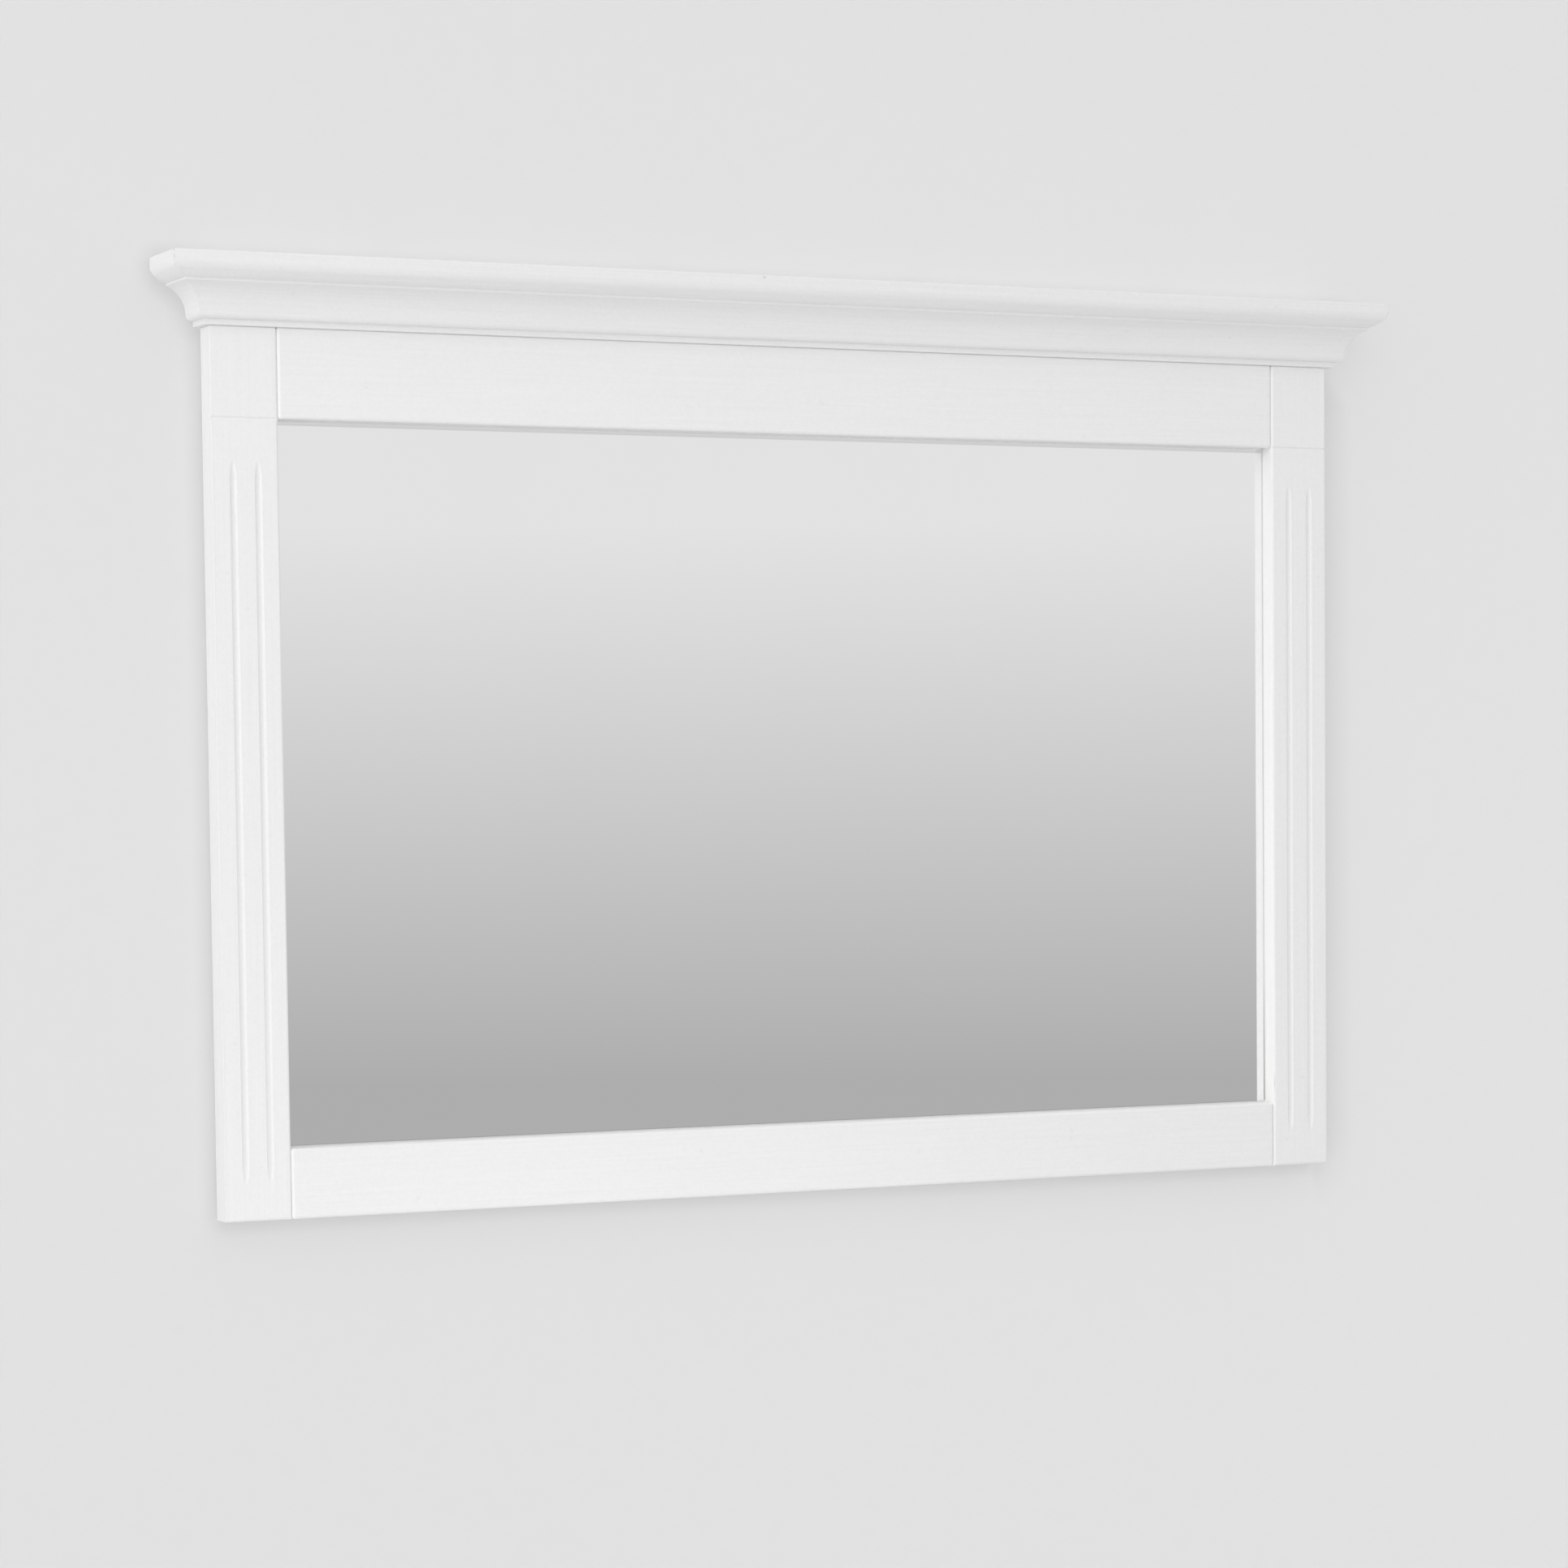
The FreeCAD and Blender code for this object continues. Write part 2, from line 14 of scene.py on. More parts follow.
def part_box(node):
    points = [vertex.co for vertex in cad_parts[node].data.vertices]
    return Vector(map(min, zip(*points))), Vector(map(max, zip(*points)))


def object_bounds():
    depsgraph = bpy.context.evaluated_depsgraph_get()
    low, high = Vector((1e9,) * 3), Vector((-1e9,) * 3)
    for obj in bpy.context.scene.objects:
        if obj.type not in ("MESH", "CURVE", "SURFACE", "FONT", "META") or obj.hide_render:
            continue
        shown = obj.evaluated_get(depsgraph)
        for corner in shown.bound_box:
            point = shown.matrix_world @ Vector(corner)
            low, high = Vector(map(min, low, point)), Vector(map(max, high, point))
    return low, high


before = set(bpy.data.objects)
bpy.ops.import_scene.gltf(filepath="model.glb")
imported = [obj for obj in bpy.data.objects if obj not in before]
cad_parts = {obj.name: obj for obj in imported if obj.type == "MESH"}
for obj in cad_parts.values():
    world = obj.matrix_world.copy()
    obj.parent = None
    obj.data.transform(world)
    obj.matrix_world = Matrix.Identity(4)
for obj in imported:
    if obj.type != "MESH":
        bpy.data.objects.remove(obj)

cad_low, cad_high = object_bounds()
print("pieces:", len(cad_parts), "box:", [round(v, 3) for v in (*cad_low, *cad_high)])

# %% [markdown]
# The camera stands to the left of the mirror and a little above its middle, and looks slightly down. Its
# place came from a least-squares fit of the frame's real edges to the photograph's. A camera can be aimed
# with two angles and a roll, or with a tracking constraint. The angles are written out here, because a
# hand-held photograph has a small roll that no constraint gives. The picture was cut from a taller one,
# which a lens shift stands for.

# %% Camera
PICTURE_PIXELS = 1932
FOCAL_PIXELS = 5321.7
SHIFT_UP = 0.18
CAMERA_PLACE = Vector((-1.5663, -3.2639, -0.2913))
YAW, PITCH, ROLL = math.radians(25.46), math.radians(-3.587), math.radians(-0.617)


def camera_matrix(place, yaw, pitch, roll):
    """Matrix of a camera turned right by yaw, up by pitch, and then about its own axis by roll."""
    ahead = Vector((math.sin(yaw) * math.cos(pitch), math.cos(yaw) * math.cos(pitch), math.sin(pitch)))
    right = Vector((math.cos(yaw), -math.sin(yaw), 0))
    up = right.cross(ahead)
    right, up = math.cos(roll) * right + math.sin(roll) * up, math.cos(roll) * up - math.sin(roll) * right
    turn = Matrix((right, up, -ahead)).transposed()
    return Matrix.Translation(place) @ turn.to_4x4()


lens = bpy.data.cameras.new("camera")
lens.lens = lens.sensor_width * FOCAL_PIXELS / PICTURE_PIXELS
lens.shift_y = SHIFT_UP
camera = bpy.data.objects.new("camera", lens)
camera.matrix_world = camera_matrix(CAMERA_PLACE, YAW, PITCH, ROLL)
bpy.context.scene.collection.objects.link(camera)
bpy.context.scene.camera = camera
print("lens:", round(lens.lens, 1), "mm")

# %% [markdown]
# Every finish below is a network of shader nodes. Building one by hand takes many lines, so small helpers do
# the wiring. The first adds a node and fills or links its inputs, and the others use it for sums, ramps and
# mixtures. Groups are used where several materials share a pattern: a group with named inputs can be tuned
# for each material, which a copied network can't.

# %% Helpers: nodes and values
def fill(tree, socket, value):
    """Link an output to an input, or set the input's own value."""
    if isinstance(value, bpy.types.NodeSocket):
        tree.links.new(value, socket)
    else:
        socket.default_value = value


def node(tree, kind, inputs=None, **properties):
    """Add a shader node, set its properties, and fill or link its inputs by name or number."""
    made = tree.nodes.new("ShaderNode" + kind)
    for name, value in properties.items():
        setattr(made, name, value)
    for key, value in (inputs or {}).items():
        fill(tree, made.inputs[key], value)
    return made


def math_node(tree, operation, a, b=0.0, clamp=False):
    """Output of a Math node."""
    return node(tree, "Math", {0: a, 1: b}, operation=operation, use_clamp=clamp).outputs[0]


def product(tree, first, *others):
    """Product of two or more values."""
    for other in others:
        first = math_node(tree, "MULTIPLY", first, other)
    return first


def weighted(tree, *pairs):
    """Sum of values, each multiplied by its weight."""
    total = 0.0
    for value, weight in pairs:
        total = math_node(tree, "ADD", total, math_node(tree, "MULTIPLY", value, weight))
    return total


def ramp(tree, value, start, end, low=0.0, high=1.0, **properties):
    """Value that goes from low to high while the given one goes from start to end, and then stays."""
    inputs = {"Value": value, "From Min": start, "From Max": end, "To Min": low, "To Max": high}
    return node(tree, "MapRange", inputs, **properties).outputs[0]


def mix_values(tree, share, a, b):
    """Value between a and b."""
    return node(tree, "Mix", {0: share, 2: a, 3: b}, data_type="FLOAT").outputs[0]


def xyz(tree, vector):
    """The three parts of a vector, by name."""
    return node(tree, "SeparateXYZ", {0: vector}).outputs


print("helpers for nodes and values are ready")

# %% [markdown]
# Tones are easiest to compare with a photograph on a screen's scale from 0 to 255, but light adds up on a
# linear scale. So grey and colour turn screen values into linear ones, and neutral takes a linear level as
# it is.

# %% Helpers: colours, noise and materials
def neutral(level):
    """Neutral colour of a linear level."""
    return (level, level, level, 1.0)


def grey(value):
    """Linear colour of a neutral grey written on the 0 to 255 scale of a screen."""
    share = value / 255
    return neutral(((share + 0.055) / 1.055) ** 2.4 if share > 0.04 else share / 12.92)


def colour(red, green, blue):
    """Linear colour from screen values."""
    return (grey(red)[0], grey(green)[0], grey(blue)[0], 1.0)


def mix_colours(tree, share, a, b, **properties):
    """Colour between a and b."""
    return node(tree, "Mix", {0: share, 6: a, 7: b}, data_type="RGBA", **properties).outputs[2]


def multiplied(tree, a, b):
    """Product of two colours."""
    return mix_colours(tree, 1.0, a, b, blend_type="MULTIPLY")


def noise(tree, vector, scale, detail, roughness=0.5):
    """Grey noise."""
    inputs = {"Vector": vector, "Scale": scale, "Detail": detail, "Roughness": roughness}
    return node(tree, "TexNoise", inputs).outputs["Fac"]


def scattered(tree, vector, scale, chance, reach):
    """Mask of round spots: cells of a Voronoi pattern, of which a share have a spot at their point."""
    cells = node(tree, "TexVoronoi", {"Vector": vector, "Scale": scale}).outputs
    chosen = node(tree, "SeparateColor", {0: cells["Color"]}).outputs[0]
    dot = ramp(tree, cells["Distance"], reach, 0.0, interpolation_type="SMOOTHSTEP")
    return math_node(tree, "MULTIPLY", dot, math_node(tree, "LESS_THAN", chosen, chance))


def new_group(name, inputs, outputs):
    """Start a node group. Each socket is a pair of its name and kind."""
    group = bpy.data.node_groups.new(name, "ShaderNodeTree")
    for title, kind in inputs:
        group.interface.new_socket(title, in_out="INPUT", socket_type="NodeSocket" + kind)
    for title, kind in outputs:
        group.interface.new_socket(title, in_out="OUTPUT", socket_type="NodeSocket" + kind)
    print("group:", name, "gives", ", ".join(title for title, kind in outputs))
    return group, group.nodes.new("NodeGroupInput").outputs, group.nodes.new("NodeGroupOutput").inputs


def use_group(tree, group, inputs):
    """Place a group in a material, with values or links for its inputs, and give its outputs."""
    return node(tree, "Group", inputs, node_tree=group).outputs


def new_material(name):
    """Start a material and give its tree, its Principled shader and its object coordinates."""
    material = bpy.data.materials.new(name)
    material.use_nodes = True
    tree = material.node_tree
    return material, tree, tree.nodes["Principled BSDF"], node(tree, "TexCoord").outputs["Object"]


def set_surface(tree, shader, base, roughness, metallic=0.0):
    """Give a shader its colour, its roughness, and whether it is metal."""
    for name, value in (("Base Color", base), ("Roughness", roughness), ("Metallic", metallic)):
        fill(tree, shader.inputs[name], value)


def set_relief(tree, shader, height, strength, distance):
    """Give a shader a fine relief."""
    relief = node(tree, "Bump", {"Height": height, "Strength": strength, "Distance": distance}).outputs[0]
    tree.links.new(relief, shader.inputs["Normal"])


def dress(material, *names):
    """Give a material to CAD nodes by name."""
    for name in names:
        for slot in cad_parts[name].material_slots:
            slot.material = material
    print(material.name, "->", ", ".join(names))


WHITE = neutral(1.0)
print("a screen grey of 230 is", round(grey(230)[0], 3), "on the linear scale")

# %% [markdown]
# The mirror hangs on a pale, evenly lit wall over a pale floor. The wall shows the frame's soft contact
# shadow, so it is a real surface and not just a background colour. Part of that shade comes from room light
# that the frame blocks, and an ambient occlusion node paints more of it into the wall's colour as painted
# shade. It reaches further and goes deeper beside the right stile, the side away from the window. Seen from
# behind, the wall would hide the mirror, so both sheets let through whatever meets their backs. They also let
# through very short rays, or the steel in the gap behind the frame would reflect nothing but dark wall. The
# wall's tone also changes a little from left to right and grows a little darker towards the top: painted
# light and shade that even out the lamp, which stands to the left and above the middle.

# %% Wall and floor
WALL_Y, FLOOR_Z = cad_high.y, -1.75
WALL_TONES, FLOOR_TONES = (grey(224), grey(233), grey(240)), (grey(230),) * 3
WALL_LEVELS, FLOOR_LEVELS = (1.02, 0.98), (1.0, 1.0)
WALL_ROUGHNESS, FLOOR_ROUGHNESS, SHEET_SPECULAR = 0.8, 0.6, 0.2
TONE_HALF, LEVEL_LOW, LEVEL_HIGH = 1.1, -0.9, 0.5
MOTTLE_SCALE, MOTTLE_DETAIL, MOTTLE_DARKER = 60.0, 4.0, 0.99
LEFT_REACH, RIGHT_REACH, LEFT_SHADE, RIGHT_SHADE = 0.016, 0.045, 0.74, 0.5
STILE_EDGE, STILE_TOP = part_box("right_stile")[1].x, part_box("right_stile")[1].z
BEFORE_EDGE, AFTER_EDGE, BELOW_TOP = 0.002, 0.006, 0.03
SHADE_SAMPLES = 8
WALL_GAP = 0.006
STAGE_HALF, STAGE_TOP, STAGE_FRONT = 6.0, 3.5, -9.0


def one_sided(name, tones, levels, roughness):
    """Matt material that shows only from its front: tones from left to right and levels from low to high,
    which can even out uneven light as painted light and shade, a faint mottling, and a painted shade where
    something touches it."""
    material, tree, shader, place = new_material(name)
    parts = xyz(tree, place)
    left_part = ramp(tree, parts["X"], -TONE_HALF, 0.0)
    right_part = ramp(tree, parts["X"], 0.0, TONE_HALF)
    tone = mix_colours(tree, right_part, mix_colours(tree, left_part, tones[0], tones[1]), tones[2])
    level = ramp(tree, parts["Z"], LEVEL_LOW, LEVEL_HIGH, *levels)
    tone = node(tree, "VectorMath", {0: tone, 1: level}, operation="MULTIPLY").outputs[0]
    mottle = noise(tree, place, MOTTLE_SCALE, MOTTLE_DETAIL)
    tone = multiplied(tree, tone, mix_colours(tree, mottle, WHITE, neutral(MOTTLE_DARKER)))

    # Painted shade: ambient occlusion darkens the colour next to whatever touches the sheet, further and
    # deeper right of the right stile.
    past_edge = ramp(tree, parts["X"], STILE_EDGE - BEFORE_EDGE, STILE_EDGE + AFTER_EDGE)
    below_top = ramp(tree, parts["Z"], STILE_TOP, STILE_TOP - BELOW_TOP)
    on_right = product(tree, past_edge, below_top)
    reach = mix_values(tree, on_right, LEFT_REACH, RIGHT_REACH)
    openness = node(tree, "AmbientOcclusion", {"Distance": reach}, samples=SHADE_SAMPLES).outputs["AO"]
    deepest = mix_colours(tree, on_right, neutral(LEFT_SHADE), neutral(RIGHT_SHADE))
    shade = mix_colours(tree, openness, deepest, WHITE)
    set_surface(tree, shader, multiplied(tree, tone, shade), roughness)
    shader.inputs["Specular IOR Level"].default_value = SHEET_SPECULAR

    behind = node(tree, "NewGeometry").outputs["Backfacing"]
    in_gap = math_node(tree, "LESS_THAN", node(tree, "LightPath").outputs["Ray Length"], WALL_GAP)
    let_through = math_node(tree, "MAXIMUM", behind, in_gap)
    clear = node(tree, "BsdfTransparent").outputs[0]
    mixed = node(tree, "MixShader", {0: let_through, 1: shader.outputs[0], 2: clear}).outputs[0]
    tree.links.new(mixed, tree.nodes["Material Output"].inputs["Surface"])
    return material


def stage_sheet(name, corners, material):
    """Flat sheet through four corners, given anticlockwise as seen from its front."""
    mesh = bpy.data.meshes.new(name)
    mesh.from_pydata(corners, [], [(0, 1, 2, 3)])
    mesh.materials.append(material)
    sheet = bpy.data.objects.new(name, mesh)
    bpy.context.scene.collection.objects.link(sheet)
    return sheet


room_sheets = [
    stage_sheet("wall", [(-STAGE_HALF, WALL_Y, FLOOR_Z), (STAGE_HALF, WALL_Y, FLOOR_Z),
                         (STAGE_HALF, WALL_Y, STAGE_TOP), (-STAGE_HALF, WALL_Y, STAGE_TOP)],
                one_sided("wall_paint", WALL_TONES, WALL_LEVELS, WALL_ROUGHNESS)),
    stage_sheet("floor", [(-STAGE_HALF, STAGE_FRONT, FLOOR_Z), (STAGE_HALF, STAGE_FRONT, FLOOR_Z),
                          (STAGE_HALF, WALL_Y, FLOOR_Z), (-STAGE_HALF, WALL_Y, FLOOR_Z)],
                one_sided("floor_finish", FLOOR_TONES, FLOOR_LEVELS, FLOOR_ROUGHNESS))]
print("wall at", round(WALL_Y, 4), "m, floor at", FLOOR_Z, "m")

# %% [markdown]
# Most of the light is even and comes from the whole room, a little stronger from the left and from above.
# The mirror needs something to reflect: the room is pale above eye level and grows darker towards the
# floor. That tone is only for rays that come straight from the camera by way of the mirror, so it doesn't
# change the light on the paint. A ray from the camera that meets nothing finds a plain backdrop.

# %% Light of the room
ROOM_LIGHT, ROOM_FROM_LEFT, ROOM_FROM_ABOVE = 0.87, 0.05, 0.05
WINDOW_IN_MIRROR = 2.2
ROOM_LOW_TONE, ROOM_HIGH_TONE, BACKDROP = 0.44, 0.80, 0.62
ROOM_LOW_SLOPE, ROOM_HIGH_SLOPE = -0.066, 0.062
UNDER_ONE_BOUNCE = 0.5

world = bpy.data.worlds.new("room")
world.use_nodes = True
bpy.context.scene.world = world
tree = world.node_tree
direction = xyz(tree, node(tree, "TexCoord").outputs["Generated"])
reflected = ramp(tree, direction["Z"], ROOM_LOW_SLOPE, ROOM_HIGH_SLOPE, ROOM_LOW_TONE, ROOM_HIGH_TONE)
from_left = math_node(tree, "MULTIPLY", direction["X"], -ROOM_FROM_LEFT)
from_above = math_node(tree, "MULTIPLY", direction["Z"], ROOM_FROM_ABOVE)
uneven = math_node(tree, "ADD", math_node(tree, "ADD", from_left, from_above), 1.0)
lit = math_node(tree, "MULTIPLY", uneven, ROOM_LIGHT)
path = node(tree, "LightPath").outputs
window = product(tree, math_node(tree, "MAXIMUM", from_left, 0.0), path["Is Glossy Ray"])
lit = math_node(tree, "ADD", lit, product(tree, window, WINDOW_IN_MIRROR / ROOM_FROM_LEFT))
mirrored_ray = math_node(tree, "MAXIMUM", path["Is Glossy Ray"], path["Is Transmission Ray"])
direct = math_node(tree, "LESS_THAN", path["Diffuse Depth"], UNDER_ONE_BOUNCE)
strength = mix_values(tree, product(tree, mirrored_ray, direct), lit, reflected)
strength = mix_values(tree, path["Is Camera Ray"], strength, BACKDROP)
tree.links.new(strength, tree.nodes["Background"].inputs["Strength"])
tree.nodes["Background"].inputs["Color"].default_value = WHITE
print("room light:", ROOM_LIGHT, "and in the mirror", ROOM_LOW_TONE, "to", ROOM_HIGH_TONE)

# %% [markdown]
# A large window lamp to the left adds the slightly brighter left end of the frame. It is there twice, once
# for the pieces and once for the wall and floor: light linking gives each its own strength, and keeps the
# frame from throwing a hard shadow on the wall. A weak glow lights the frame from below and in front. The
# last lamp stands behind the wall and lights the back, for views from there.

# %% Lamps
PIECES, MIDDLE = list(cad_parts.values()), (0, 0, -0.25)
WINDOW_PLACE, WINDOW_SIZE = (-3.0, -1.9, 0.5), 2.4
LOW_PLACE, LOW_TARGET = (-0.2, -0.35, -1.0), (-0.2, 0, -0.6)
BACK_PLACE = (0.5, 2.6, 0.6)


def area_lamp(name, place, target, size, watts):
    """Square soft lamp aimed at a point, which doesn't show in the mirror."""
    light = bpy.data.lights.new(name, "AREA")
    light.size = size
    light.energy = watts
    lamp = bpy.data.objects.new(name, light)
    lamp.location = place
    lamp.rotation_mode = "QUATERNION"
    lamp.rotation_quaternion = (Vector(target) - Vector(place)).to_track_quat("-Z", "Y")
    lamp.visible_glossy = False
    bpy.context.scene.collection.objects.link(lamp)
    return lamp


def only_for(lamp, objects):
    """Let these objects, and nothing else, catch and block a lamp's light."""
    chosen = bpy.data.collections.new(lamp.name + "_only")
    for thing in objects:
        chosen.objects.link(thing)
    lamp.light_linking.receiver_collection = chosen
    lamp.light_linking.blocker_collection = chosen


for name, place, target, size, watts, objects in (
        ("window_on_mirror", WINDOW_PLACE, MIDDLE, WINDOW_SIZE, 32.0, PIECES),
        ("window_on_wall", WINDOW_PLACE, MIDDLE, WINDOW_SIZE, 30.0, room_sheets),
        ("low_glow", LOW_PLACE, LOW_TARGET, 0.6, 0.45, PIECES),
        ("behind_the_wall", BACK_PLACE, MIDDLE, 2.2, 16.0, PIECES)):
    only_for(area_lamp(name, place, target, size, watts), objects)
    print("lamp:", name, watts, "W for", len(objects), "objects")

# %% [markdown]
# White satin paint on pine isn't one flat colour. A brush leaves faint ridges along each board, the grain
# shows through as longer streaks, small dents catch the light, and dust dries in as a few specks. The group
# below makes these from noise that is squeezed along the board, so one group serves upright stiles, level
# rails and the cornice.

# %% Group: brushed paint
RIDGE_NOISE, PEEL_NOISE = (1.0, 5.0, 0.6), (420.0, 2.0)
PATCH_NOISE, SMUDGE_NOISE = (14.0, 3.0), (380.0, 3.0, 0.7)
SPECKS, DENTS = (55.0, 0.10, 0.05), (60.0, 0.2, 0.16)

brushed, given, wanted = new_group(
    "brushed paint",
    [("Vector", "Vector"), ("Streaks", "Vector")],
    [("Tone", "Float"), ("Height", "Float"), ("Sheen Mask", "Float")])
ridges = noise(brushed, given["Streaks"], *RIDGE_NOISE)
peel = noise(brushed, given["Vector"], *PEEL_NOISE)
patches = noise(brushed, given["Vector"], *PATCH_NOISE)
smudges = noise(brushed, given["Vector"], *SMUDGE_NOISE)
speck = scattered(brushed, given["Vector"], *SPECKS)
dent = scattered(brushed, given["Vector"], *DENTS)
# Dents are sunk and also a little darker in tone: a painted shade in their hollows.
tone = weighted(brushed, (ridges, 0.6), (patches, 0.05), (smudges, 0.6), (speck, -1.8), (dent, -0.4))
brushed.links.new(tone, wanted["Tone"])
height = weighted(brushed, (ridges, 0.6), (peel, 0.25), (smudges, 0.5), (speck, 0.7), (dent, -0.9))
brushed.links.new(height, wanted["Height"])
brushed.links.new(patches, wanted["Sheen Mask"])

# %% [markdown]
# The backs of the boards were never painted. Bare pine shows pale earlywood with darker latewood lines that
# run along the board and wander a little. They are sharpened waves across the board, bent by noise, which
# costs far less than a ring pattern cut through a modelled log and looks the same on a planed face.

# %% Group: bare pine
BEND_NOISE, FIBRE_NOISE = (0.05, 2.0), (1.6, 4.0)
RINGS, LATEWOOD_SHARPNESS, LATEWOOD_SHARE = 46.0, 5.0, 0.75
EARLY_TONES, LATE_TONE = (colour(214, 182, 134), colour(228, 199, 153)), colour(178, 130, 78)

pine, given, wanted = new_group(
    "bare pine", [("Vector", "Vector"), ("Streaks", "Vector")], [("Color", "Color"), ("Height", "Float")])
bend = noise(pine, given["Streaks"], *BEND_NOISE)
wave = math_node(pine, "FRACT", math_node(pine, "MULTIPLY", bend, RINGS))
latewood = math_node(pine, "POWER", wave, LATEWOOD_SHARPNESS)
fibre = noise(pine, given["Streaks"], *FIBRE_NOISE)
early = mix_colours(pine, fibre, *EARLY_TONES)
wood_colour = mix_colours(pine, math_node(pine, "MULTIPLY", latewood, LATEWOOD_SHARE), early, LATE_TONE)
pine.links.new(wood_colour, wanted["Color"])
pine.links.new(math_node(pine, "ADD", latewood, fibre), wanted["Height"])

# %% [markdown]
# Each painted board mixes the two: paint where the surface faces the room, a side or the glass, and bare
# pine on the wall side. The brush lapped round the back's outer edges, so a ragged white border runs there.
# Which surface a point is on comes from its normal and its depth, so no mask has to be painted by hand.

# %% Mask: bare backs
BACK_NORMAL, BACK_DEPTH = 0.9, 0.001
LAP_WIDTH, LAP_RAGGED, LAP_NOISE = 0.014, 0.014, (45.0, 3.0)
stile_low, stile_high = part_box("left_stile")
carrier_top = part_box("cornice_carrier")[1].z


def bare_back(tree, place):
    """Mask of the wall side of the boards, less a ragged painted border along their outer edges."""
    normal = xyz(tree, node(tree, "NewGeometry").outputs["True Normal"])["Y"]
    parts = xyz(tree, place)
    faces_wall = product(tree, math_node(tree, "GREATER_THAN", normal, BACK_NORMAL),
                         math_node(tree, "GREATER_THAN", parts["Y"], -BACK_DEPTH))
    from_side = math_node(tree, "SUBTRACT", -stile_low.x, math_node(tree, "ABSOLUTE", parts["X"]))
    from_foot = math_node(tree, "SUBTRACT", parts["Z"], stile_low.z)
    from_top = math_node(tree, "SUBTRACT", carrier_top, parts["Z"])
    inset = math_node(tree, "MINIMUM", from_side, math_node(tree, "MINIMUM", from_foot, from_top))
    ragged = noise(tree, place, *LAP_NOISE)
    border = weighted(tree, (ragged, LAP_RAGGED), (1.0, LAP_WIDTH - LAP_RAGGED / 2))
    return product(tree, faces_wall, math_node(tree, "GREATER_THAN", inset, border))


print("paint laps", round(LAP_WIDTH * 1000), "mm onto the backs")

# %% [markdown]
# A few single marks make the paint this frame's own: a hairline crack along each of the cornice's mitres, a
# nick and a smear on the cornice, a pimple of dried paint, and a short split in the grain. Each is a mask
# worked out from the distance to a point or a plane. They could be modelled, but at a few tenths of a
# millimetre a mask and a bump do as well.

# %% Group: marks on the cornice
MARK_TONE = grey(150)
MARK_KINDS = [("Vector", "Vector")], [("Dark", "Float"), ("Painted Light", "Float"), ("Height", "Float")]
HAIRLINE_HALF, HAIRLINE_LOW, HAIRLINE_TOP = 0.0002, 0.115, 0.130
WANDER_NOISE, BREAK_NOISE, BREAK_LEVELS = (90.0, 2.0), (420.0, 2.0), (0.38, 0.6)
NICK = (-0.0517, -0.062, 0.1290), (0.0016, 0.003, 0.0011)
SMEAR = (0.1667, -0.046, 0.1150), (0.0022, 0.006, 0.0016)


def spot(tree, vector, centre, half_sizes):
    """Soft spot: one minus the distance to its centre, measured in its own half sizes."""
    offset = node(tree, "VectorMath", {0: vector, 1: centre}, operation="SUBTRACT").outputs[0]
    scaled = node(tree, "VectorMath", {0: offset, 1: half_sizes}, operation="DIVIDE").outputs[0]
    distance = node(tree, "VectorMath", {0: scaled}, operation="LENGTH").outputs["Value"]
    return math_node(tree, "SUBTRACT", 1.0, distance, clamp=True)


hairline, given, wanted = new_group("mitre hairline", *MARK_KINDS)
parts = xyz(hairline, given["Vector"])
outward = math_node(hairline, "ADD", math_node(hairline, "ABSOLUTE", parts["X"]), stile_low.x)
forward = math_node(hairline, "SUBTRACT", stile_low.y, parts["Y"])
swing = math_node(hairline, "SUBTRACT", noise(hairline, given["Vector"], *WANDER_NOISE), 0.5)
wander = math_node(hairline, "MULTIPLY", swing, HAIRLINE_HALF * 3)
off_plane = math_node(hairline, "ADD", math_node(hairline, "SUBTRACT", outward, forward), wander)
thin = ramp(hairline, math_node(hairline, "ABSOLUTE", off_plane), HAIRLINE_HALF * 2, HAIRLINE_HALF)
upper = ramp(hairline, parts["Z"], HAIRLINE_LOW, HAIRLINE_TOP)
broken = ramp(hairline, noise(hairline, given["Vector"], *BREAK_NOISE), *BREAK_LEVELS)
crack = product(hairline, thin, upper, broken)
nick = spot(hairline, given["Vector"], *NICK)
smear = spot(hairline, given["Vector"], *SMEAR)
hairline.links.new(weighted(hairline, (crack, 0.8), (nick, 0.5), (smear, 0.35)), wanted["Dark"])
hairline.links.new(weighted(hairline, (crack, -1.5), (nick, -4.0), (smear, -2.0)), wanted["Height"])

# %% [markdown]
# On the frame, the colour is made whiter where two pieces meet, in the four joints and just under the
# moulding: painted light that lifts the shade there. On the stiles' outer front arrises it is a little
# darker, a painted shade that keeps the rounded edge from shining.

# %% Group: marks, painted light and painted shade on the frame
ARRIS_SHADE_WIDTH = 0.001
JOINT_INSET = stile_high.x - stile_low.x
OPENING_LOW, OPENING_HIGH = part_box("bottom_rail")[1].z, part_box("top_rail")[0].z
JOINT_LIGHT_REACH, JOINT_LIGHT_SHARE, PAINTED_LIGHT_TONE = 0.004, 0.7, grey(252)
SUNK_START, SUNK_END = 0.0002, 0.0012
TOP_LIGHT_REACH, TOP_LIGHT_SHARE = 0.005, 0.9
PIMPLE = (-0.3824, -0.022, 0.0339), (0.0022, 0.003, 0.0018)
SPLIT = (0.4562, -0.022, -0.5485), (0.0006, 0.004, 0.0125)

single, given, wanted = new_group("single marks", *MARK_KINDS)
pimple = spot(single, given["Vector"], *PIMPLE)
split = spot(single, given["Vector"], *SPLIT)
parts = xyz(single, given["Vector"])
in_from_side = math_node(single, "SUBTRACT", -stile_low.x, math_node(single, "ABSOLUTE", parts["X"]))
in_from_front = math_node(single, "SUBTRACT", parts["Y"], stile_low.y)
from_arris = math_node(single, "MAXIMUM", in_from_side, in_from_front)
